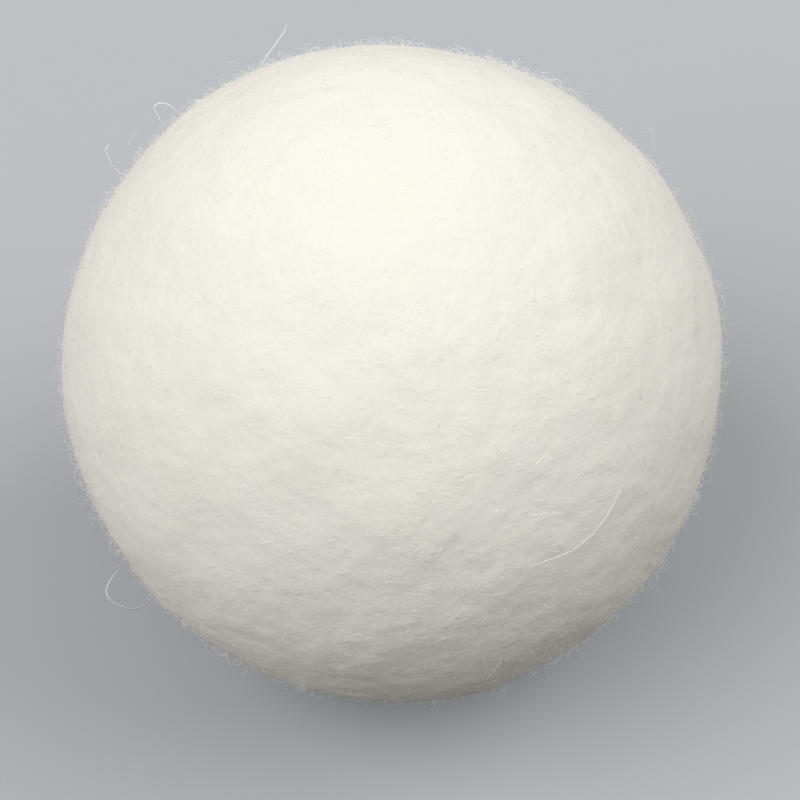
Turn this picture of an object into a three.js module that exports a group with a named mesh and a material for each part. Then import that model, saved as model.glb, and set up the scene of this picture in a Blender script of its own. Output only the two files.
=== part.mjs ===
// Wool dryer ball: one solid ball of felted wool, a little out of round.
// Millimetres, +Z up, origin at the middle of the ball. The ball lies loose and has no foot or flat base.
import * as THREE from "three";
import { mergeVertices } from "three/addons/utils/BufferGeometryUtils.js";

// Driving dimensions
const BALL_DIAMETER = 70.8; // across the fullest places, between the flats
const LUMP_PITCH = 11; // from one soft lump of the felt to the next
const LUMP_HEIGHT = 0.08; // how far a usual lump stands out of, or sinks into, the round

// Broad flats, left where the wet wool was pressed while it shrank into a ball.
// bearing runs anticlockwise from +X seen from above and height is above the middle, both in degrees;
// across is the flat's width on the surface and depth how far its middle lies below the round.
const FLATS = [
  { bearing: 81, height: 45, across: 30, depth: 0.85 }, // crown, towards the back
  { bearing: 202, height: -20, across: 20, depth: 0.9 }, // left side, low
  { bearing: 232, height: -38, across: 26, depth: 0.7 }, // front left, near the foot
  { bearing: -16, height: -16, across: 28, depth: 0.8 }, // right side, low
  { bearing: -45, height: -35, across: 15, depth: 0.4 }, // front right, near the foot
  { bearing: 38, height: 32, across: 15, depth: 0.4 }, // right shoulder, towards the back
  { bearing: 66, height: -32, across: 32, depth: 0.6 }, // back, near the foot
  { bearing: 142, height: 4, across: 28, depth: 0.5 }, // back left
];

// How finely the form is followed: facets along each edge of the starting icosahedron, and waves in the lumps
const FACETS_PER_EDGE = 21;
const LUMP_WAVES = 9;

const GOLDEN_ANGLE = Math.PI * (3 - Math.sqrt(5));
const ballRadius = BALL_DIAMETER / 2;

// A point of the unit sphere from a bearing and a height in degrees.
function direction({ bearing, height }) {
  const polar = THREE.MathUtils.degToRad(90 - height);
  const around = THREE.MathUtils.degToRad(bearing);
  return new THREE.Vector3(
    Math.sin(polar) * Math.cos(around),
    Math.sin(polar) * Math.sin(around),
    Math.cos(polar),
  );
}

const flats = FLATS.map((flat) => ({ ...flat, middle: direction(flat) }));

// How far the flats sink the surface at a point of the unit sphere. Each is a bell curve of the distance
// along the surface from the flat's middle, so it runs out softly into the round.
function sunkByFlats(unit) {
  let sunk = 0;
  for (const { middle, across, depth } of flats) {
    const alongSurface = ballRadius * unit.angleTo(middle);
    sunk += depth * Math.exp(-((alongSurface / (across / 2)) ** 2));
  }
  return sunk;
}

// Wave directions spread evenly over the sphere on a golden-angle spiral, each with its own phase.
const lumpWaves = Array.from({ length: LUMP_WAVES }, (_, index) => {
  const rise = 1 - (2 * index + 1) / LUMP_WAVES;
  const out = Math.sqrt(1 - rise * rise);
  const turn = GOLDEN_ANGLE * index;
  return {
    along: new THREE.Vector3(out * Math.cos(turn), out * Math.sin(turn), rise),
    phase: turn * turn,
  };
});

// The felt's soft unevenness: sine waves one pitch long, crossing the ball in all directions.
function raisedByLumps(unit) {
  const cyclesPerUnit = (2 * Math.PI * ballRadius) / LUMP_PITCH;
  let sum = 0;
  for (const { along, phase } of lumpWaves) {
    sum += Math.sin(cyclesPerUnit * unit.dot(along) + phase);
  }
  return LUMP_HEIGHT * sum / Math.sqrt(LUMP_WAVES / 2);
}

// The ball's surface: an evenly divided icosahedron, every corner moved out to the felt's radius there.
function feltBallGeometry() {
  const faceted = new THREE.IcosahedronGeometry(1, FACETS_PER_EDGE - 1);
  faceted.deleteAttribute("normal");
  faceted.deleteAttribute("uv");
  const geometry = mergeVertices(faceted);
  const corners = geometry.getAttribute("position");
  const corner = new THREE.Vector3();
  for (let i = 0; i < corners.count; i++) {
    corner.fromBufferAttribute(corners, i).normalize();
    corner.multiplyScalar(ballRadius - sunkByFlats(corner) + raisedByLumps(corner));
    corners.setXYZ(i, corner.x, corner.y, corner.z);
  }
  geometry.computeVertexNormals();
  return geometry;
}

// Undyed cream wool, dull all over.
const creamFelt = new THREE.MeshStandardMaterial({
  color: 0xefece0,
  roughness: 0.95,
  metalness: 0,
});

const feltBall = new THREE.Mesh(feltBallGeometry(), creamFelt);
feltBall.name = "felt_ball";

const dryerBall = new THREE.Group();
dryerBall.name = "wool_dryer_ball";
dryerBall.add(feltBall);

export default dryerBall;
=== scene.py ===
# %% [markdown]
# # A ball of felted wool
#
# A wool dryer ball is a handful of fleece, washed hot and rolled until its scaly fibres lock into one
# solid mat. Nothing is sewn, wound or filled. What makes it look like wool is all in its outermost
# millimetre: a mat of short strands lying every way, a haze of curled fuzz round the outline, and a few
# long stray fibres.
#
# The ball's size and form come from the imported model, which this script loads as a fixed frame and never
# moves. The lesson builds a skin over that form, lays strands in it, stands fuzz on it and lights it
# softly.

# %% Load the ball's form
import math

import bpy
import numpy as np
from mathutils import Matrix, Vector


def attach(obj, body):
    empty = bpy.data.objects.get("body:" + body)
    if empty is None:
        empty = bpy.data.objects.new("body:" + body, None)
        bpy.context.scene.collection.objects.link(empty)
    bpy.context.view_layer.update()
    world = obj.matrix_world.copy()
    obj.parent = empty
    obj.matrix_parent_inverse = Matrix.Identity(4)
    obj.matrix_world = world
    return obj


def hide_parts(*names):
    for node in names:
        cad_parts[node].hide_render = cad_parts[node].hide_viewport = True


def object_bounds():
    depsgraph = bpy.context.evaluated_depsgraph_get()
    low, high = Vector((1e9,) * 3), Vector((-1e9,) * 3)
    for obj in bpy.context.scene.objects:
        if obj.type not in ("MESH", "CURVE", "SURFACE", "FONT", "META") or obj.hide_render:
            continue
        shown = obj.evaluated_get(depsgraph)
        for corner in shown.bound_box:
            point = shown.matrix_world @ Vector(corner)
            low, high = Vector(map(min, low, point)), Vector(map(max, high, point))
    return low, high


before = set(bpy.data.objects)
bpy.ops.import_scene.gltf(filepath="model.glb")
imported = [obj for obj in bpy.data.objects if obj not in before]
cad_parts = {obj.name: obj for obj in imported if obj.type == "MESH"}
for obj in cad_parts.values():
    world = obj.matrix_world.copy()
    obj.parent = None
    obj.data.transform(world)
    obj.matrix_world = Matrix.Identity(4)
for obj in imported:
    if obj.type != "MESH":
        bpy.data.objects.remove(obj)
cad_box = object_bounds()

MM = 0.001  # the scene is in metres, and sizes here are written in millimetres
SEED = 70
draw = np.random.default_rng(SEED)  # every random choice below comes from this one source
floor_height = cad_box[0].z  # the ball lies on its lowest point

print("packed ball, in mm:", [round(side / MM, 2) for side in cad_box[1] - cad_box[0]])

# %% [markdown]
# ## Reading the form
#
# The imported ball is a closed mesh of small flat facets: broad shallow flats and soft lumps on a round. A
# render this close would show the facets, so the skin must be finer, yet keep the same form. Shrinkwrap
# would copy the facets too. Instead the radius in any direction is a weighted mean of the radii of the
# facet corners near it, which runs smoothly through them.

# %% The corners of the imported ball
CORNER_DIGITS = 7  # places in metres are rounded to these digits, and corners that then agree become one


def unit(vectors):
    """Each vector divided by its length."""
    return vectors / np.linalg.norm(vectors, axis=-1, keepdims=True)


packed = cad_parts["felt_ball"].data
corners = np.empty(3 * len(packed.vertices))
packed.vertices.foreach_get("co", corners)
corners = np.unique(corners.reshape(-1, 3).round(CORNER_DIGITS), axis=0)
corner_radius = np.linalg.norm(corners, axis=1).astype(np.float32)
corner_direction = unit(corners).astype(np.float32)
ball_radius = float(corner_radius.mean())
print(f"{len(corners)} corners, mean radius {ball_radius / MM:.2f} mm")

# %% The radius of the felt in any direction
FORM_REACH = 1.3 * MM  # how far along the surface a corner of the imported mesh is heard
BATCH = 4000  # directions worked out at a time, to save memory


def form_radius(directions):
    """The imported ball's radius along each unit direction.

    The mean of all corner radii, each weighted by a bell curve of the angle to its corner,
    exp(k (cos(angle) - 1)), which falls off over FORM_REACH along the surface.
    """
    sharpness = (ball_radius / FORM_REACH) ** 2
    flat = directions.reshape(-1, 3).astype(np.float32)
    found = []
    for part in np.array_split(flat, 1 + len(flat) // BATCH):
        weight = np.exp(sharpness * (part @ corner_direction.T - 1))
        found.append(weight @ corner_radius / weight.sum(axis=1))
    return np.concatenate(found).reshape(directions.shape[:-1]).astype(float)


axis_radii = form_radius(np.concatenate([np.eye(3), -np.eye(3)]))
print("radius along x, y, z and back, in mm:", (axis_radii / MM).round(2))

# %% [markdown]
# ## The camera
#
# The view is from the front, half way between level and straight down, and the ball nearly fills the
# picture. A ball shows as a cone whose half angle a has sin(a) = radius / distance, so the size of its
# outline in the picture gives the camera's distance. Turning the camera a little then puts the outline's
# middle where it belongs.

# %% Place the camera
VIEW_HEIGHT = math.radians(45)
LENS = 85.0  # mm
SENSOR = 36.0  # mm, across the picture
PICTURE = 800  # pixels, across and down
OUTLINE_RADIUS = 329.9  # pixels
OUTLINE_MIDDLE = (393.3, 372.0)  # pixels from the left and from the top

pixel = SENSOR / LENS / PICTURE  # its width, at unit distance
distance = ball_radius / math.sin(math.atan(OUTLINE_RADIUS * pixel))
view_back = np.array([0, -math.cos(VIEW_HEIGHT), math.sin(VIEW_HEIGHT)])
view_right = np.array([1.0, 0, 0])
view_up = np.cross(view_back, view_right)
eye = view_back * distance
off_middle = (PICTURE / 2 - np.array(OUTLINE_MIDDLE)) * pixel * distance
aim = off_middle[0] * view_right - off_middle[1] * view_up

camera_data = bpy.data.cameras.new("camera")
camera_data.lens = LENS
camera_data.sensor_width = SENSOR
camera = bpy.data.objects.new("camera", camera_data)
camera.location = eye
camera.rotation_euler = Vector(eye - aim).to_track_quat("Z", "Y").to_euler()
bpy.context.scene.collection.objects.link(camera)
bpy.context.scene.camera = camera
print(f"camera {distance / MM:.0f} mm from the ball's middle")

# %% [markdown]
# ## The felt's own relief
#
# Felt is never smooth: the wool mats into soft swellings a few millimetres wide, with finer rough places
# between them. Sine waves would look regular, so this uses lattice noise: random numbers at the corners
# of a cubic lattice, blended smoothly in between. Several sizes are added. The strands laid on later use
# the same relief, so they follow the skin instead of floating over it or cutting through it.

# %% Lattice noise
LATTICE_SPAN = 2.2  # ball radii across a lattice
LATTICE_SPARE = 3  # steps more than that, so that every point has corners round it


def lattice_of(size):
    """Random numbers from -1 to 1 on a cubic lattice that covers the ball with a margin."""
    steps = int(LATTICE_SPAN * ball_radius / size) + LATTICE_SPARE
    return draw.uniform(-1, 1, (steps, steps, steps))


def lattice_noise(points, size, lattice):
    """Smooth random values: the eight lattice corners round each point, blended along each axis.

    With t the share of a step past the lower corner, the upper one's share of the blend is t t (3 - 2 t).
    """
    place = points / size + (lattice.shape[0] - 1) / 2
    low = np.floor(place).astype(int)
    blend = place - low
    blend = blend * blend * (3 - 2 * blend)
    total = np.zeros(points.shape[:-1])
    for step in np.ndindex(2, 2, 2):
        share = np.where(step, blend, 1 - blend).prod(axis=-1)
        x, y, z = np.moveaxis(low + step, -1, 0)
        total += share * lattice[x, y, z]
    return total


# %% The felt's surface
RELIEF = {4.6 * MM: 0.06 * MM, 2.2 * MM: 0.078 * MM, 1.2 * MM: 0.038 * MM}  # lattice size: height

relief_lattices = {size: lattice_of(size) for size in RELIEF}


def above_floor(points, clearance=0.0):
    """The same points, lifted where they would pass through what the ball lies on."""
    lifted = points.copy()
    lifted[..., 2] = np.maximum(points[..., 2], floor_height + clearance)
    return lifted


def felt_surface(directions):
    """Points of the felt: each direction times a radius, the form's plus a noise of each relief size."""
    radius = form_radius(directions)
    points = directions * radius[..., None]
    for size, height in RELIEF.items():
        radius = radius + height * lattice_noise(points, size, relief_lattices[size])
    return above_floor(directions * radius[..., None])


for size, height in RELIEF.items():
    print(f"relief {size / MM:.1f} mm apart, {height / MM:.3f} mm high")

# %% [markdown]
# ## A helper that makes meshes
#
# Every piece here is worked out as whole arrays, so one helper hands arrays to Blender. `foreach_set`
# copies a whole array at once, which is hundreds of times faster than adding corners one by one. The map
# that it carries places each face in a square, for anyone who wants to bake the finish to an image.

# %% Arrays into a mesh object
MAP_NAME = "OFBake"
FOLD = math.radians(130)  # a sharper edge than this isn't shaded round


def new_piece(name, points, faces, maps, smooth=True):
    """A mesh object from corner points, arrays of faces and, for each of those, its corners' map places."""
    mesh = bpy.data.meshes.new(name)
    mesh.vertices.add(len(points))
    mesh.vertices.foreach_set("co", points.astype(np.float32).ravel())
    corner_counts = np.concatenate([np.full(len(array), array.shape[1]) for array in faces])
    face_corners = np.concatenate([array.ravel() for array in faces])
    mesh.loops.add(len(face_corners))
    mesh.loops.foreach_set("vertex_index", face_corners.astype(np.int32))
    mesh.polygons.add(len(corner_counts))
    mesh.polygons.foreach_set("loop_start", (np.cumsum(corner_counts) - corner_counts).astype(np.int32))
    mesh.polygons.foreach_set("use_smooth", np.full(len(corner_counts), smooth))
    mesh.update(calc_edges=True)
    mesh.set_sharp_from_angle(angle=FOLD)
    layer = mesh.uv_layers.new(name=MAP_NAME)
    layer.data.foreach_set("uv", np.concatenate([array.ravel() for array in maps]).astype(np.float32))
    piece = bpy.data.objects.new(name, mesh)
    bpy.context.scene.collection.objects.link(piece)
    print(f"{name}: {len(points)} corners, {int((corner_counts - 2).sum())} triangles")
    return piece


# %% [markdown]
# ## The skin
#
# A globe of meridians would crowd its corners at the poles. Six square patches, blown up from the faces
# of a cube, cover a ball evenly. Each patch is a grid of two angles, and the patches share the corners
# along their edges, so the skin is closed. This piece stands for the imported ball.

# %% A cube blown up to a ball
MAP_CELLS = (3, 2)  # patches across the map and up it
PATCH_MARGIN = 0.02  # free border round a patch in the map


def cube_patches(steps):
    """Unit directions, faces and map places of six square patches.

    A patch has two angles a and b, each from -45 to 45 degrees, and its direction is (1, tan a, tan b) made
    unit length, with the axes turned and the sign changed for each of the cube's six faces.
    """
    angle = np.linspace(-np.pi / 4, np.pi / 4, steps + 1)
    a, b = np.meshgrid(angle, angle, indexing="ij")
    face = unit(np.stack([np.ones_like(a), np.tan(a), np.tan(b)], axis=-1)).reshape(-1, 3)
    turned = [np.roll(face, axis, axis=1) for axis in range(3)]
    directions = np.concatenate([sign * patch for patch in turned for sign in (1, -1)])
    index = np.arange((steps + 1) ** 2).reshape(steps + 1, steps + 1)
    around = [index[:-1, :-1], index[1:, :-1], index[1:, 1:], index[:-1, 1:]]
    quads = np.stack(around, axis=-1).reshape(-1, 4)
    share = np.linspace(PATCH_MARGIN, 1 - PATCH_MARGIN, steps + 1)
    share = np.stack(np.meshgrid(share, share, indexing="ij"), axis=-1).reshape(-1, 2)
    columns, rows = MAP_CELLS
    all_quads, places = [], []
    for patch in range(columns * rows):
        order = quads if patch % 2 == 0 else quads[:, ::-1]
        all_quads.append(order + patch * len(face))
        cell = (np.array([patch % columns, patch // columns]) + share) / MAP_CELLS
        places.append(cell[order])
    return directions, np.concatenate(all_quads), np.concatenate(places)


# %% Make the skin
SKIN_STEPS = 100  # grid steps along a patch's edge
DIRECTION_DIGITS = 9  # directions that agree when rounded to these digits become one corner

directions, quads, places = cube_patches(SKIN_STEPS)
directions, shared = np.unique(directions.round(DIRECTION_DIGITS), axis=0, return_inverse=True)
skin = new_piece("felt_skin", felt_surface(unit(directions)), [shared.ravel()[quads]], [places])

# %% [markdown]
# ## Fibres
#
# A wool fibre is a long thin cylinder with a natural curl. Hair particles would draw it well, but they
# aren't a mesh that another program can read, so each fibre is a slim closed tube: a ring of three
# corners carried along a path. At a twentieth of a millimetre across, three sides are enough. All the
# paths of a kind are one array, with axes for fibre, point along the fibre and x, y, z, so thousands of
# tubes take one pass.

# %% A section along many paths
SIDES = 3
TAPER = 0.2  # share of a fibre's length over which each end narrows


def carry_section(lines, across, radii, flatness):
    """Rings of corners round every point of every line.

    With t the line's direction, n the part of `across` square to t and b = t x n, a ring's corner is the
    point plus radius times (flatness cos(turn) n + sin(turn) b), for turns spread evenly round the circle.
    """
    along = unit(np.gradient(lines, axis=1))
    n = unit(across - (across * along).sum(axis=2, keepdims=True) * along)
    b = np.cross(along, n)
    turn = (2 * np.pi / SIDES * np.arange(SIDES))[:, None]
    outward = flatness * np.cos(turn) * n[:, :, None] + np.sin(turn) * b[:, :, None]
    return lines[:, :, None] + radii[:, :, None, None] * outward


def tapered(widths, points, tip):
    """Radii along each fibre: half its width, narrowing evenly over TAPER to `tip` of that at both ends."""
    share = np.linspace(0, 1, points)
    narrowing = tip + (1 - tip) * np.clip(np.minimum(share, 1 - share) / TAPER, 0, 1)
    return widths[:, None] / 2 * narrowing


print(f"a fibre has {SIDES} sides and narrows over {TAPER:.0%} of its length at each end")

# %% [markdown]
# ## Many tubes as one mesh
#
# Thousands of separate objects would be slow to handle, so all fibres of a kind are one mesh. No two
# fibres are quite the same shade. Each gets one random number, kept on its corners as an attribute that a
# material can read.

# %% Tubes into a piece
# places of a tube's walls and two ends within its own cell of the map
WALL_PLACE = (0.1, 0.8)  # start and size, both ways
END_PLACES = np.array([[[0.2, 0.01], [0.8, 0.01], [0.5, 0.08]], [[0.2, 0.92], [0.8, 0.92], [0.5, 0.99]]])
TONE_NAME = "fibre_tone"


def fibre_piece(name, lines, across, radii, flatness=1.0):
    """One mesh of closed tubes. Each has a cell of its own in the map, and a random tone as an attribute.

    Round tubes are shaded flat, because normals smoothed over three sides point too far from the faces.
    """
    rings = carry_section(lines, across, radii, flatness)
    fibres, points = lines.shape[:2]
    corner = np.arange(rings[..., 0].size).reshape(fibres, points, SIDES)
    onward = np.roll(corner, -1, axis=2)
    walls = np.stack([corner[:, :-1], onward[:, :-1], onward[:, 1:], corner[:, 1:]], axis=-1)
    ends = np.stack([corner[:, 0, ::-1], corner[:, -1]], axis=1)

    cells = math.ceil(math.sqrt(fibres))
    cell = np.stack(np.divmod(np.arange(fibres), cells), axis=-1)
    side, point = np.meshgrid(np.arange(SIDES), np.arange(points - 1))
    wall_side = np.stack([side, side + 1, side + 1, side], axis=-1) / SIDES
    wall_point = np.stack([point, point, point + 1, point + 1], axis=-1) / (points - 1)
    wall_place = WALL_PLACE[0] + WALL_PLACE[1] * np.stack([wall_side, wall_point], axis=-1)
    maps = [(cell[:, None, None, None] + wall_place) / cells, (cell[:, None, None] + END_PLACES) / cells]

    faces = [walls.reshape(-1, 4), ends.reshape(-1, SIDES)]
    piece = new_piece(name, rings.reshape(-1, 3), faces, maps, smooth=flatness < 1)
    tones = np.repeat(draw.normal(0, 1, fibres), points * SIDES)
    tone = piece.data.attributes.new(TONE_NAME, "FLOAT", "POINT")
    tone.data.foreach_set("value", tones.astype(np.float32))
    return piece


# %% [markdown]
# ## Where fibres start and how they curl
#
# A free wool fibre curls into part of a helix. A helix has a closed formula: the heading turns at a
# steady rate about a fixed axis. With the axis square to the skin the fibre curls flat along it, and with
# the axis leaning it rises and bends over. Headings aren't fully random: felt has swirls where neighbours
# lie much the same way, so a slow noise steers them.

# %% Roots and headings
HALVES = {"upper": 1, "lower": -1}
SWIRL_SIZE = 7 * MM
NEAR_POLE = 0.9  # a unit root higher or lower than this finds its east from the x axis, not the z axis

swirl_lattice = lattice_of(SWIRL_SIZE)


def scattered_roots(count, half):
    """Unit directions spread at random over the upper (half = 1) or lower (half = -1) half of the ball."""
    height = half * draw.uniform(0, 1, count)
    around = draw.uniform(0, 2 * np.pi, count)
    out = np.sqrt(1 - height**2)
    return np.stack([out * np.cos(around), out * np.sin(around), height], axis=-1)


def headings_at(roots, spread):
    """Unit headings along the skin: a swirl that changes slowly over the ball, plus a spread in radians."""
    off_pole = np.where(abs(roots[:, 2:]) < NEAR_POLE, [[0, 0, 1]], [[1, 0, 0]])
    east = unit(np.cross(off_pole, roots))
    north = np.cross(roots, east)
    angle = 2 * np.pi * lattice_noise(roots * ball_radius, SWIRL_SIZE, swirl_lattice)
    angle = angle + draw.normal(0, spread, len(roots))
    return np.cos(angle)[:, None] * east + np.sin(angle)[:, None] * north


print(f"swirls about {SWIRL_SIZE / MM:.0f} mm apart")


# %% Curls
def helix(starts, headings, axes, bends, lengths, points):
    """Lines that leave `starts` along `headings` and turn about `axes` by `bends` radians a metre.

    With h the part of the heading along the axis and c the part square to it, the point at distance s is
    start + h s + c sin(bend s) / bend + (axis x c) (1 - cos(bend s)) / bend.
    """
    s = lengths[:, None, None] * np.linspace(0, 1, points)[:, None]
    bend, axis = bends[:, None, None], axes[:, None]
    h = (headings * axes).sum(axis=1)[:, None, None] * axis
    c = headings[:, None] - h
    turned = c * np.sin(bend * s) + np.cross(axis, c) * (1 - np.cos(bend * s))
    return starts[:, None] + h * s + turned / bend


# %% [markdown]
# ## Strands in the mat
#
# These lie along the skin. Both ends dive under it and the middle rides just above, so only part of each
# strand shows, as in real felt. A strand is a few fibres lying together and pressed flat, so its section
# is a low ridge. Light from above catches one slope and misses the other, which is what shows the mat
# where the ball turns away from the light.

# %% Lay the strands
STRANDS = 3000  # on each half of the ball
STRAND_POINTS = 5
STRAND_LENGTH = (0.9 * MM, 2.8 * MM)
STRAND_WIDTH = (0.16 * MM, 0.45 * MM)
STRAND_LIFT = (-0.01 * MM, 0.03 * MM)
STRAND_SINK = 0.06 * MM
STRAND_BEND = 0.6 / MM  # a usual turn, in radians a metre
STRAND_BIAS = 0.01  # share of that by which all of them turn the same way
STRAND_SPREAD = 0.9  # radians that neighbours differ in heading
STRAND_FLATNESS = 0.09
FIBRE_TIP = 0.5  # an end's width, as a share of the middle's


def lay_strands(name, half):
    """Strands on half of the ball: flat curls put on the felt, raised by a half wave between sunk ends."""
    roots = scattered_roots(STRANDS, half)
    lengths = draw.uniform(*STRAND_LENGTH, STRANDS)
    bends = STRAND_BEND * (draw.normal(0, 1, STRANDS) + STRAND_BIAS)
    headings = headings_at(roots, STRAND_SPREAD)
    directions = unit(helix(roots * ball_radius, headings, roots, bends, lengths, STRAND_POINTS))
    lifts = draw.uniform(*STRAND_LIFT, STRANDS)[:, None]
    wave = np.sin(np.pi * np.linspace(0, 1, STRAND_POINTS))
    heights = (lifts + STRAND_SINK) * wave - STRAND_SINK
    radii = tapered(draw.uniform(*STRAND_WIDTH, STRANDS), STRAND_POINTS, FIBRE_TIP)
    lines = above_floor(felt_surface(directions) + heights[..., None] * directions, radii)
    return fibre_piece(name, lines, roots[:, None], radii, STRAND_FLATNESS)


strands = [lay_strands(f"strands_{name}", half) for name, half in HALVES.items()]

# %% [markdown]
# ## Fuzz
#
# Fuzz stands out of the skin. A fibre leaves at a slant, bends over and often turns back in, as a little
# hook or loop. Seen from the front it hardly shows, but along the outline the view passes through many
# millimetres of it, so a sparse layer makes a thick haze there. It isn't the same all over: the face that
# looks at the camera is rubbed smooth, and the foot is pressed flat by lying on it, so fuzz is sparser
# and finer on both. A share between 0 and 1, worked out for each root from its direction, decides how
# likely a fibre is kept and how wide it is.

# %% Where the fuzz is rubbed off
RUBBED_LEFT = 0.5  # share of the fuzz left where it is rubbed most
RUBBED = (
    # the middle of a rubbed face, and the degrees from there where the fuzz begins to thicken and is whole
    (view_back, (60, 80)),
    (np.array([0.0, 0.0, -1.0]), (45, 75)),
)


def left_by_rubbing(directions):
    """The share of the fuzz left at each direction: a product of smooth steps, one for each rubbed face.

    With t the share of the way from where the fuzz begins to thicken to where it is whole, a step goes up
    from RUBBED_LEFT to 1 by t t (3 - 2 t).
    """
    left = np.ones(len(directions))
    for middle, (begins, whole) in RUBBED:
        angle = np.degrees(np.arccos(np.clip(directions @ middle, -1, 1)))
        t = np.clip((angle - begins) / (whole - begins), 0, 1)
        left *= RUBBED_LEFT + (1 - RUBBED_LEFT) * t * t * (3 - 2 * t)
    return left


print("fuzz left on front and foot:", left_by_rubbing(np.stack([middle for middle, degrees in RUBBED])))

# %% Stand the fuzz
FUZZ_LEAN = 0.45  # how far a curl's axis leans, from none at 0
FUZZ_SPREAD = 1.6  # radians that neighbours differ in heading
FUZZ_ROOT = 0.1 * MM  # how deep a fibre starts
TUFT_SIZE = 6 * MM  # how far apart the fuzz stands longest
TUFT_GAIN = 0.9  # share of its length by which a fibre may be longer or shorter there
LAYERS = {
    # long hooks and loops, and the short down between them; each number of fibres is for half of the ball
    # before rubbing, slants are degrees above the skin where a fibre leaves it, curls the radii of its bends
    "fuzz": {"fibres": 7000, "points": 6, "length": (1.2 * MM, 3.4 * MM), "width": (0.024 * MM, 0.054 * MM),
             "slant": (30, 120), "curl": (0.25 * MM, 0.85 * MM)},
    "down": {"fibres": 10200, "points": 4, "length": (0.6 * MM, 1.5 * MM), "width": (0.02 * MM, 0.042 * MM),
             "slant": (30, 100), "curl": (0.2 * MM, 0.6 * MM)},
}

tuft_lattice = lattice_of(TUFT_SIZE)


def stand_fuzz(name, half, fibres, points, length, width, slant, curl):
    """Curled fibres on half of the ball: each leaves the felt at a slant and bends over about its axis.

    The axis is square to the root and the heading, plus a random lean. Fibres are longer in some tufts.
    """
    roots = scattered_roots(fibres, half)
    roots = roots[draw.uniform(0, 1, fibres) < left_by_rubbing(roots)]
    fibres = len(roots)
    headings = headings_at(roots, FUZZ_SPREAD)
    slants = np.radians(draw.uniform(*slant, fibres))[:, None]
    leaving = np.cos(slants) * headings + np.sin(slants) * roots
    lean = draw.normal(0, FUZZ_LEAN, (2, fibres, 1))
    axes = unit(np.cross(roots, headings) + lean[0] * headings + lean[1] * roots)
    bends = 1 / draw.uniform(*curl, fibres)
    starts = felt_surface(roots) - FUZZ_ROOT * roots
    tufts = lattice_noise(starts, TUFT_SIZE, tuft_lattice)
    lengths = draw.uniform(*length, fibres) * (1 + TUFT_GAIN * tufts)
    lines = helix(starts, leaving, axes, bends, lengths, points)
    radii = tapered(draw.uniform(*width, fibres) * left_by_rubbing(roots), points, FIBRE_TIP)
    return fibre_piece(name, above_floor(lines, radii), axes[:, None], radii)


fuzz = [stand_fuzz(f"{layer}_{name}", half, **sizes) for layer, sizes in LAYERS.items()
        for name, half in HALVES.items()]

# %% [markdown]
# ## Stray fibres
#
# A few long fibres have worked loose. They are the one thing on the ball that anyone could point at, so
# the ones in front are given one by one, as a few points each in the plane of the picture, and a smooth
# curve is drawn through the points. Each point is then pushed along the line of sight: to the felt where
# it lies in front of the ball, and to the place nearest the ball's middle where it stands clear of the
# outline.

# %% The strays in front
CLEAR, FINE, FAINT = 0.16 * MM, 0.09 * MM, 0.06 * MM  # widths
STRAYS = (
    # how it is held, its width, and its points in mm right of and above the ball's middle, as the camera
    # sees them
    ("loop", CLEAR, ((-24.6, 26.5), (-25.7, 28.5), (-25.3, 29.1), (-24.2, 29.0), (-23.0, 28.0))),
    ("loop", CLEAR, ((-29.0, -20.5), (-30.2, -21.7), (-31.0, -22.9), (-31.2, -23.8), (-30.7, -24.7),
                     (-29.4, -25.4), (-28.2, -25.6), (-27.1, -25.2), (-26.4, -24.4))),
    ("loop", FAINT, ((-16.4, 32.7), (-17.0, 33.5), (-17.7, 33.5), (-17.9, 32.9), (-17.3, 32.2))),
    ("loop", FAINT, ((26.4, 25.3), (27.0, 26.1), (27.7, 26.3), (28.2, 25.7), (28.2, 24.4), (28.5, 23.2))),
    ("free", CLEAR, ((-28.7, 21.0), (-30.2, 22.3), (-30.8, 23.5), (-31.0, 24.2), (-30.6, 24.7))),
    ("free", FAINT, ((-27.6, 23.6), (-28.7, 24.4), (-28.2, 25.3), (-27.5, 26.1))),
    ("free", CLEAR, ((-14.5, 32.9), (-13.4, 34.4), (-12.5, 35.6), (-11.6, 36.9), (-11.4, 37.6))),
    ("free", FINE, ((-15.6, -31.8), (-16.0, -32.3), (-16.6, -32.9))),
    ("lying", FINE, ((24.6, -12.3), (23.9, -13.9), (22.9, -15.7), (21.2, -17.7), (19.0, -19.4),
                     (15.8, -20.7), (14.0, -21.3))),
    ("lying", FAINT, ((14.4, -15.5), (15.7, -15.6), (16.5, -15.3), (17.5, -15.4), (18.6, -15.3))),
    ("lying", FAINT, ((15.3, -10.3), (15.8, -9.6), (16.8, -8.9))),
    ("lying", FINE, ((9.7, -33.5), (11.3, -31.5), (11.5, -30.7))),
)


def curve_through(points, count):
    """A smooth line of `count` points through a few.

    Each stretch is a cubic of the four points round it that leaves each point along the line between its two
    neighbours. One point is added past each end, where the line would reach if it went straight on.
    """
    points = np.array(points)
    padded = np.concatenate([[2 * points[0] - points[1]], points, [2 * points[-1] - points[-2]]])
    place = np.linspace(0, len(points) - 1, count)
    stretch = np.minimum(place.astype(int), len(points) - 2)
    t = (place - stretch)[:, None]
    before, start, end, after = (padded[stretch + step] for step in range(4))
    bend = 2 * before - 5 * start + 4 * end - after
    return start + t / 2 * (end - before + t * (bend + t * (3 * (start - end) + after - before)))


print(len(STRAYS), "strays placed by hand")

# %% From the picture to the felt
STRAY_POINTS = 24
STRAY_ROOT = 0.3 * MM  # how deep an end is held under the felt
STRAY_LIFT = 0.1 * MM  # size of a lying fibre's arch
STRAY_DIP = 0.25  # share of the lift that its ends lie under the felt
STRAY_ARCH = 0.5  # power of the half wave that it follows: under 1 rises fast and stays up


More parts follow.
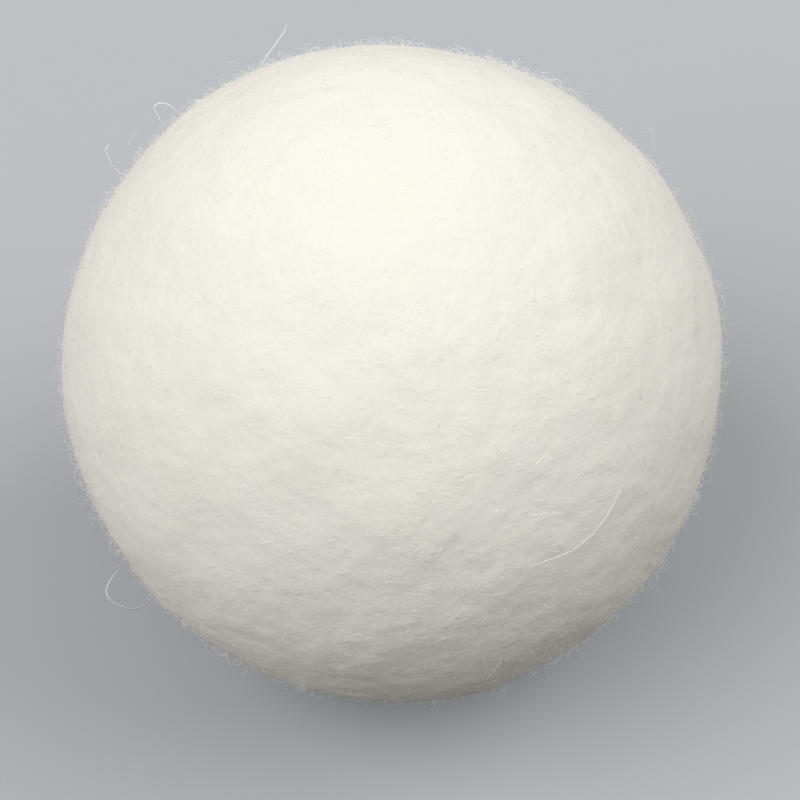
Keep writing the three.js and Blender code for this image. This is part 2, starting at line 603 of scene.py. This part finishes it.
def seen_at(places):
    """Where each line of sight meets the ball, or comes nearest to its middle if it misses.

    With n the distance to the nearest point and m how far that is from the middle, the ball is met at
    n - sqrt(radius squared - m squared).
    """
    sight = unit(places[..., :1] * view_right + places[..., 1:] * view_up - eye)
    nearest = -(sight @ eye)
    miss = np.linalg.norm(eye + nearest[..., None] * sight, axis=-1)
    depth = nearest - np.sqrt(np.maximum(ball_radius**2 - miss**2, 0))
    return eye + depth[..., None] * sight


def pinned(lines, heights):
    """The same lines with each point moved along its radius to its height over the felt, or left if NaN."""
    directions = unit(lines)
    held = felt_surface(directions) + heights[..., None] * directions
    return np.where(np.isnan(heights)[..., None], lines, held)


def placed_strays():
    """Lines of the strays in front, pinned by how each is held.

    A loop is under the felt at both ends and a free fibre at one. A lying one keeps to the felt all along.
    """
    free = np.full(STRAY_POINTS, np.nan)
    free[0] = -STRAY_ROOT
    loop = free.copy()
    loop[-1] = -STRAY_ROOT
    lying = STRAY_LIFT * (np.sin(np.pi * np.linspace(0, 1, STRAY_POINTS)) ** STRAY_ARCH - STRAY_DIP)
    heights = {"loop": loop, "free": free, "lying": lying}
    places = np.stack([curve_through(points, STRAY_POINTS) for held, width, points in STRAYS]) * MM
    return pinned(seen_at(places), np.stack([heights[held] for held, width, points in STRAYS]))


front_strays = placed_strays()
front_reach = np.linalg.norm(front_strays, axis=-1).max() - ball_radius
print(f"they stand out of the round by up to {front_reach / MM:.1f} mm")

# %% [markdown]
# ## Strays out of view
#
# The back of the ball has such fibres too, but no picture says where. Curves by hand would be guesses one
# by one, so here the helix that made the fuzz makes longer, wider arcs, rooted at random on the far side.

# %% The strays behind
FAR_STRAYS = 12
FAR_TRIES = 4  # times that number of roots are tried on each half of the ball
FAR_SIDE = -0.2  # cosine of the angle to the camera, below which a root is taken
FAR_LENGTH = (5 * MM, 12 * MM)
FAR_CURL = (1.5 * MM, 5 * MM)
FAR_SLANT = (25, 80)
STRAY_TIP = 0.45  # an end's width, as a share of the middle's


def far_strays():
    """Long helix arcs, rooted on the side of the ball that faces away from the camera."""
    tried = np.concatenate([scattered_roots(FAR_TRIES * FAR_STRAYS, half) for half in HALVES.values()])
    roots = tried[tried @ view_back < FAR_SIDE][:FAR_STRAYS]
    headings = headings_at(roots, FUZZ_SPREAD)
    slants = np.radians(draw.uniform(*FAR_SLANT, FAR_STRAYS))[:, None]
    leaving = np.cos(slants) * headings + np.sin(slants) * roots
    axes = unit(np.cross(roots, headings) + draw.normal(0, FUZZ_LEAN, (FAR_STRAYS, 3)))
    starts = felt_surface(roots) - STRAY_ROOT * roots
    bends = 1 / draw.uniform(*FAR_CURL, FAR_STRAYS)
    return helix(starts, leaving, axes, bends, draw.uniform(*FAR_LENGTH, FAR_STRAYS), STRAY_POINTS)


stray_lines = np.concatenate([front_strays, far_strays()])
stray_widths = np.array([width for held, width, points in STRAYS] + FAR_STRAYS * [FINE])
stray_radii = tapered(stray_widths, STRAY_POINTS, STRAY_TIP)
strays = fibre_piece("stray_fibres", above_floor(stray_lines, stray_radii), unit(stray_lines), stray_radii)

# %% [markdown]
# ## Materials
#
# Undyed wool is a dull cream, a little warmer in some places than in others. The mottling is the same
# wool in the skin and in the fibres, so it is one node group that both materials use with values of their
# own. A single fibre is paler than the mat, because in the mat light goes from fibre to fibre and loses a
# little each time.

# %% Helpers for nodes
MIX_A, MIX_B, MIX_OUT = 6, 7, 2  # a Mix node's sockets when it mixes colours


def add_node(tree, kind, inputs, **settings):
    """A new node with its own settings. `inputs` gives its named inputs a value or another node's output."""
    made = tree.nodes.new(kind)
    for name, value in settings.items():
        setattr(made, name, value)
    for name, value in inputs.items():
        if isinstance(value, bpy.types.NodeSocket):
            tree.links.new(value, made.inputs[name])
        else:
            made.inputs[name].default_value = value
    return made


def noise_at(tree, place, size, detail):
    """Outputs of a noise whose lumps are about `size` apart, with `detail` finer noises added to it."""
    inputs = {"Vector": place, "Scale": 1 / size, "Detail": detail}
    return add_node(tree, "ShaderNodeTexNoise", inputs).outputs


def product_of(tree, first, second):
    """An output for the first value times the second."""
    return add_node(tree, "ShaderNodeMath", {0: first, 1: second}, operation="MULTIPLY").outputs[0]


def mixed_colour(tree, factor, first, second):
    """An output for the first colour where the factor is 0 and the second where it is 1."""
    inputs = {"Factor": factor, MIX_A: first, MIX_B: second}
    return add_node(tree, "ShaderNodeMix", inputs, data_type="RGBA").outputs[MIX_OUT]


# %% The mottled wool
MOTTLE_SIZE = 9 * MM
MOTTLE_INPUTS = {"Wool": "Color", "Warm wool": "Color", "Warmth": "Float", "Tone and shade": "Float"}


def wool_mottle_group():
    """Object coordinates through a noise, which mixes a warmer wool into the plain one. A tone scales it:
    on fibres their own random tone, and on the felt the painted shade of its gaps.
    """
    group = bpy.data.node_groups.new("wool_mottle", "ShaderNodeTree")
    for name, kind in MOTTLE_INPUTS.items():
        group.interface.new_socket(name, in_out="INPUT", socket_type=f"NodeSocket{kind}")
    group.interface.new_socket("Color", in_out="OUTPUT", socket_type="NodeSocketColor")
    given = add_node(group, "NodeGroupInput", {}).outputs
    place = add_node(group, "ShaderNodeTexCoord", {}).outputs["Object"]
    patches = noise_at(group, place, MOTTLE_SIZE, detail=3)["Fac"]
    amount = product_of(group, patches, given["Warmth"])
    mixed = mixed_colour(group, amount, given["Wool"], given["Warm wool"])
    toned = add_node(group, "ShaderNodeHueSaturation", {"Color": mixed, "Value": given["Tone and shade"]})
    add_node(group, "NodeGroupOutput", {"Color": toned.outputs["Color"]})
    return group


wool_mottle = wool_mottle_group()
print("node group", wool_mottle.name, "with", len(wool_mottle.nodes), "nodes")

# %% [markdown]
# ## What all the wool shares
#
# Wool has almost no gloss: its scales scatter the light. Sheen could brighten the edges, but the modelled
# fuzz does that already, so a rough Principled shader with little specular light is enough. The constants
# go straight on its own sockets, and only the colour, which changes over the surface, comes from the
# group.

# %% A dull material of mottled wool
WOOL_ROUGHNESS = 0.95
WOOL_SPECULAR = 0.15
WOOL_WARMTH = 0.55  # how much of the warmer wool is mixed in at the most


def wool_material(name, wool, warm_wool):
    """A dull Principled material whose colour is the mottled wool, with its shader and its mottle node."""
    material = bpy.data.materials.new(name)
    material.use_nodes = True
    tree = material.node_tree
    inputs = {"Wool": wool, "Warm wool": warm_wool, "Warmth": WOOL_WARMTH, "Tone and shade": 1.0}
    mottle = add_node(tree, "ShaderNodeGroup", inputs, node_tree=wool_mottle)
    shader = tree.nodes["Principled BSDF"]
    shader.inputs["Roughness"].default_value = WOOL_ROUGHNESS
    shader.inputs["Specular IOR Level"].default_value = WOOL_SPECULAR
    tree.links.new(mottle.outputs["Color"], shader.inputs["Base Color"])
    return material, shader, mottle


# %% [markdown]
# ## The finest grain of the felt
#
# Between the strands the mat goes on, finer than is worth modelling, so it is bump. A noise that is
# stretched along one axis shows as streaks, which do for single fibres. Real felt has swirls, so a slow
# noise does two jobs. It pulls the coordinates about, which bends the streaks, and its three channels say
# how high the streaks along x, y and z stand, so every patch of felt has a main direction of its own. All
# of it is kept soft and shallow, because even, deep streaks look like combed hair.

# %% Steps and heights
def smooth_step(tree, value, edges, begin, end):
    """An output that goes smoothly from `begin` to `end` while the value goes from one edge to the other."""
    inputs = {"Value": value, "From Min": edges[0], "From Max": edges[1], "To Min": begin, "To Max": end}
    return add_node(tree, "ShaderNodeMapRange", inputs, interpolation_type="SMOOTHSTEP").outputs["Result"]


def raised(tree, base, value, height):
    """An output for the base plus the value times the height."""
    inputs = {0: value, 1: height, 2: base}
    return add_node(tree, "ShaderNodeMath", inputs, operation="MULTIPLY_ADD").outputs[0]


# %% The fine mat of fibres
ROUGH_SIZE = 1.2 * MM
ROUGH_HEIGHT = 0.08 * MM
PATCH_SIZE = 3 * MM
PATCH_PULL = 2.4 * MM  # how far a patch's noise pulls the streaks about
PATCH_EDGE = (0.4, 0.62)  # noise values where streaks begin to stand up and are highest
STREAK_LENGTH = 2.4 * MM
STREAK_WIDTH = 0.33 * MM
STREAK_HEIGHT = 0.036 * MM


def mat_height(tree, place):
    """The height of the mat: a rough noise, plus streaks along each axis as high as its patch allows."""
    height = raised(tree, 0.0, noise_at(tree, place, ROUGH_SIZE, detail=2)["Fac"], ROUGH_HEIGHT)
    patch = noise_at(tree, place, PATCH_SIZE, detail=1)["Color"]
    pull = add_node(tree, "ShaderNodeVectorMath", {0: patch, "Scale": PATCH_PULL}, operation="SCALE")
    pulled = add_node(tree, "ShaderNodeVectorMath", {0: place, 1: pull.outputs[0]}).outputs[0]
    channels = add_node(tree, "ShaderNodeSeparateXYZ", {0: patch}).outputs
    for axis, channel in enumerate(channels):
        sizes = np.full(3, STREAK_WIDTH)
        sizes[axis] = STREAK_LENGTH
        stretched = add_node(tree, "ShaderNodeVectorMath", {0: pulled, 1: 1 / sizes}, operation="MULTIPLY")
        streaks = noise_at(tree, stretched.outputs[0], 1.0, detail=1)["Fac"]
        height = raised(tree, height, streaks, smooth_step(tree, channel, PATCH_EDGE, 0, STREAK_HEIGHT))
    return height


# %% [markdown]
# ## The felt's material
#
# A few small pits are the gaps between the fibres of the mat. A pit is where one more noise is highest.
# Its colour is darkened too, as painted shade for the light that doesn't come out of a gap. Deeper pits
# would look like chipped plaster. The strands take the same material as the skin, so that they read as part
# of it.

# %% Skin and strands
WOOL = (0.863, 0.848, 0.77, 1)
WARM_WOOL = (0.842, 0.81, 0.71, 1)
GAP_SIZE = 1.0 * MM
GAP_EDGE = (0.66, 0.8)  # noise values where a gap begins and is deepest
GAP_DEPTH = 0.02 * MM
GAP_PAINTED_SHADE = 0.93  # painted shade: how light the wool's colour is made in a gap

felt, shader, mottle = wool_material("felted_wool", WOOL, WARM_WOOL)
tree = felt.node_tree
place = add_node(tree, "ShaderNodeTexCoord", {}).outputs["Object"]
gaps = smooth_step(tree, noise_at(tree, place, GAP_SIZE, detail=2)["Fac"], GAP_EDGE, 0, 1)
felt_height = raised(tree, mat_height(tree, place), gaps, -GAP_DEPTH)
bump = add_node(tree, "ShaderNodeBump", {"Strength": 1, "Distance": 1, "Height": felt_height})
tree.links.new(bump.outputs["Normal"], shader.inputs["Normal"])
# painted shade: the gaps darken the mottled wool's colour
tree.links.new(raised(tree, 1.0, gaps, GAP_PAINTED_SHADE - 1), mottle.inputs["Tone and shade"])
for piece in [skin, *strands]:
    piece.data.materials.append(felt)
print("felt material with", len(tree.nodes), "nodes")

# %% [markdown]
# ## The loose fibres' materials
#
# A single wool fibre is nearly clear: light goes in on one side and comes out on the others, so even its
# shaded side is bright. A mix with a see-through shader would thin it away, so subsurface scattering does
# this, over about the width of the fibre. The modelled fibres are coarser than real ones, and their
# shadows would darken the felt more than real fuzz does, so they cast none.

# %% Fuzz, down and strays
FIBRE = (0.98, 0.97, 0.93, 1)
WARM_FIBRE = (0.97, 0.95, 0.885, 1)
TONE_SPREAD = 0.012  # how much one fibre differs from the next
CLEARNESS = {"fuzz": 0.06 * MM, "stray": 0.14 * MM}  # how far light goes in a fibre before it turns


def fibre_material(name, clearness):
    """Mottled wool that lets light through. Its tone is 1 plus a share of each fibre's own random value."""
    material, shader, mottle = wool_material(name, FIBRE, WARM_FIBRE)
    shader.inputs["Subsurface Weight"].default_value = 1.0
    shader.inputs["Subsurface Radius"].default_value = (1, 1, 1)  # the same for red, green and blue
    shader.inputs["Subsurface Scale"].default_value = clearness
    tree = material.node_tree
    own = add_node(tree, "ShaderNodeAttribute", {}, attribute_name=TONE_NAME).outputs["Fac"]
    tree.links.new(raised(tree, 1.0, own, TONE_SPREAD), mottle.inputs["Tone and shade"])
    return material


loose_wool = {kind: fibre_material(f"{kind}_wool", clearness) for kind, clearness in CLEARNESS.items()}
for piece in [*fuzz, strays]:
    piece.data.materials.append(loose_wool["stray" if piece == strays else "fuzz"])
    piece.visible_shadow = False
print("loose fibres in", [material.name for material in loose_wool.values()])

# %% [markdown]
# ## Riding on the frame
#
# On the real ball all of this is one body of wool, so every piece rides on the ball's one body and takes
# its finish from the one felt. Parenting by hand could shift a piece. The frame's own calls leave each
# where it was made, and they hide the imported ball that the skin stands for.

# %% Ride on the frame
pieces = [skin, *strands, *fuzz, strays]
for piece in pieces:
    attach(piece, "root")
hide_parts("felt_ball")
print(len(pieces), "pieces ride on the ball")

# %% [markdown]
# ## The floor
#
# A plain pale floor keeps the eye on the ball and takes its soft shadow. A pale floor would also throw
# much light up under the ball and wash out the shade there, so it is pale where it is looked at, and
# darker for light that bounces off it.

# %% One colour to see, another to bounce
def seen_or_bounced(tree, seen, bounced):
    """One colour for camera, glossy and transmission rays, and another for light that bounces."""
    path = add_node(tree, "ShaderNodeLightPath", {}).outputs
    first = add_node(tree, "ShaderNodeMath", {0: path["Is Camera Ray"], 1: path["Is Glossy Ray"]})
    inputs = {0: first.outputs[0], 1: path["Is Transmission Ray"]}
    direct = add_node(tree, "ShaderNodeMath", inputs, use_clamp=True)
    return mixed_colour(tree, direct.outputs[0], bounced, seen)


# %% Floor
FLOOR_SIZE = 6.0  # metres
FLOOR_SEEN = (0.46, 0.47, 0.495, 1)
FLOOR_BOUNCE = (0.08, 0.08, 0.08, 1)
FLOOR_ROUGHNESS = 0.9
FLOOR_SPECULAR = 0.0

half = FLOOR_SIZE / 2
around = ((-half, -half), (half, -half), (half, half), (-half, half))
floor_corners = [(x, y, floor_height) for x, y in around]
floor_mesh = bpy.data.meshes.new("floor")
floor_mesh.from_pydata(floor_corners, [], [(0, 1, 2, 3)])
floor = bpy.data.objects.new("floor", floor_mesh)
bpy.context.scene.collection.objects.link(floor)

floor_paint = bpy.data.materials.new("pale_floor")
floor_paint.use_nodes = True
tree = floor_paint.node_tree
shader = tree.nodes["Principled BSDF"]
shader.inputs["Roughness"].default_value = FLOOR_ROUGHNESS
shader.inputs["Specular IOR Level"].default_value = FLOOR_SPECULAR
tree.links.new(seen_or_bounced(tree, FLOOR_SEEN, FLOOR_BOUNCE), shader.inputs["Base Color"])
floor_mesh.materials.append(floor_paint)
print("floor at", round(floor_height / MM, 2), "mm")

# %% [markdown]
# ## The light
#
# Felt needs soft light: a hard lamp would draw a shadow from every lump. An even dome gives two fifths of
# what falls on the floor. A broad lamp on the left shapes the ball, and a weaker one on the right keeps
# that side open. Both are sun lamps, opened to a wide angle: they are as soft as a large lamp close by,
# and light the floor evenly to the horizon. A white face turned to a sun of strength pi renders as 1, so
# strengths here are shares of that.

# %% Lamps
LAMP_ANGLE = math.radians(50)  # how wide a lamp looks from the ball
LAMP_HEIGHT = math.radians(45)
LAMPS = {
    # bearing to the right of the camera in degrees, and share of strength
    "key": (-60, 0.54),
    "fill": (90, 0.405),
}


def hang_lamp(name, bearing, share):
    """A wide sun lamp that shines from a bearing, at LAMP_HEIGHT above level, on the ball's middle."""
    level = math.cos(LAMP_HEIGHT)
    towards = Vector((math.sin(bearing) * level, -math.cos(bearing) * level, math.sin(LAMP_HEIGHT)))
    lamp = bpy.data.lights.new(name, "SUN")
    lamp.energy = share * math.pi
    lamp.angle = LAMP_ANGLE
    stand = bpy.data.objects.new(name, lamp)
    stand.rotation_euler = towards.to_track_quat("Z", "Y").to_euler()
    bpy.context.scene.collection.objects.link(stand)


for name, (bearing, share) in LAMPS.items():
    hang_lamp(name, math.radians(bearing), share)
print("lamps:", list(LAMPS))

# %% Dome
DOME = 0.45

floor_light = DOME + sum(share * math.sin(LAMP_HEIGHT) for bearing, share in LAMPS.values())
# where it is looked at, it is as light as the floor, so the horizon doesn't show
seen_dome = (*(floor_light * np.array(FLOOR_SEEN[:3])), 1)

world = bpy.data.worlds.new("soft_dome")
bpy.context.scene.world = world
world.use_nodes = True
tree = world.node_tree
dome_colour = seen_or_bounced(tree, seen_dome, (DOME, DOME, DOME, 1))
tree.links.new(dome_colour, tree.nodes["Background"].inputs["Color"])
print("light on the floor:", round(floor_light, 2))

# %% [markdown]
# ## Finish
#
# The Standard view keeps colours as they are lit. The dressed ball stands out of the imported one
# only by its fuzz and strays.

# %% View
bpy.context.scene.view_settings.view_transform = "Standard"
